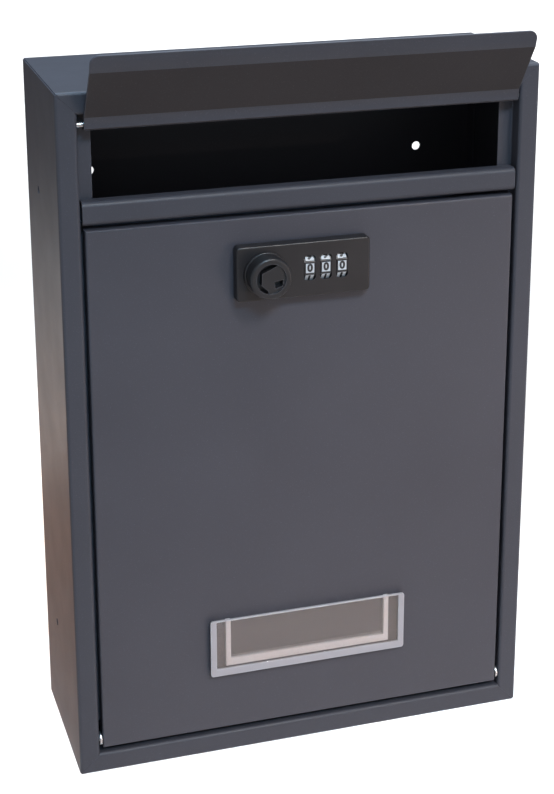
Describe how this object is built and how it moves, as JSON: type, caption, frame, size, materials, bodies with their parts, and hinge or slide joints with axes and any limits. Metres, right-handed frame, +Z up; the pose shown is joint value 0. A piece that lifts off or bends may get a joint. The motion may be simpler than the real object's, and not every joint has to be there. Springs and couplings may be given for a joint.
{
  "type": "wall letter box",
  "caption": "Slim wall letter box in folded sheet steel with a hinged flap over its slot, a bottom-hinged door, a number-wheel knob lock and a clear name holder.",
  "frame": {"origin": "middle of the back face, which is the centre of the four wall holes", "axes": "+X to the right seen from the front, +Y into the wall, +Z up"},
  "size_m": [0.217, 0.096, 0.3382],
  "materials": {
    "anthracite_paint": "fine satin powder coat",
    "zinc_plated_steel": "bright zinc plate",
    "bright_steel": "drawn steel",
    "black_plastic": "fine satin moulding",
    "clear_plastic": "clear polished moulding",
    "wheel_silver": "silver metallised, dark figures"
  },
  "bodies": {
    "case": {"left_side": "anthracite_paint", "right_side": "anthracite_paint", "top_panel": "anthracite_paint", "bottom_panel": "anthracite_paint", "back_panel": "anthracite_paint", "slot_rail": "anthracite_paint", "flap_rod": "bright_steel", "hinge_pin_left": "zinc_plated_steel", "hinge_pin_right": "zinc_plated_steel", "hinge_washer_left": "zinc_plated_steel", "hinge_washer_right": "zinc_plated_steel"},
    "flap": {"flap": "anthracite_paint"},
    "door": {"door": "anthracite_paint", "nameplate_holder": "clear_plastic", "lock_cover": "black_plastic", "knob_collar": "black_plastic", "lock_housing": "black_plastic", "wheel_axle": "bright_steel", "detent_spring": "bright_steel", "lock_barrel": "zinc_plated_steel", "barrel_nut": "zinc_plated_steel", "lock_screw": "zinc_plated_steel"},
    "knob": {"knob": "black_plastic", "spindle": "zinc_plated_steel", "cam": "zinc_plated_steel", "cam_washer": "zinc_plated_steel", "cam_screw": "zinc_plated_steel"},
    "wheel_1": {"number_wheel_1": "wheel_silver", "code_sleeve_1": "bright_steel"},
    "wheel_2": {"number_wheel_2": "wheel_silver", "code_sleeve_2": "bright_steel"},
    "wheel_3": {"number_wheel_3": "wheel_silver", "code_sleeve_3": "bright_steel"},
    "reset": {"reset_lever": "black_plastic"}
  },
  "joints": [
    {"name": "flap_hinge", "type": "hinge", "parent": "case", "child": "flap", "pos_m": [0.001, -0.0753, 0.1457], "axis": [1, 0, 0], "range_deg": [0, 136]},
    {"name": "door_hinge", "type": "hinge", "parent": "case", "child": "door", "pos_m": [0, -0.0747, -0.144], "axis": [1, 0, 0], "range_deg": [0, 110]},
    {"name": "knob_turn", "type": "hinge", "parent": "door", "child": "knob", "pos_m": [-0.0205, -0.078, 0.0762], "axis": [0, 1, 0], "range_deg": [0, 90]},
    {"name": "wheel_1_spin", "type": "hinge", "parent": "door", "child": "wheel_1", "pos_m": [-0.0004, -0.0753, 0.0767], "axis": [1, 0, 0], "continuous": true},
    {"name": "wheel_2_spin", "type": "hinge", "parent": "door", "child": "wheel_2", "pos_m": [0.007, -0.0753, 0.0767], "axis": [1, 0, 0], "continuous": true},
    {"name": "wheel_3_spin", "type": "hinge", "parent": "door", "child": "wheel_3", "pos_m": [0.0144, -0.0753, 0.0767], "axis": [1, 0, 0], "continuous": true},
    {"name": "reset_slide", "type": "slide", "parent": "door", "child": "reset", "axis": [1, 0, 0], "range_m": [0, 0.003]}
  ]
}
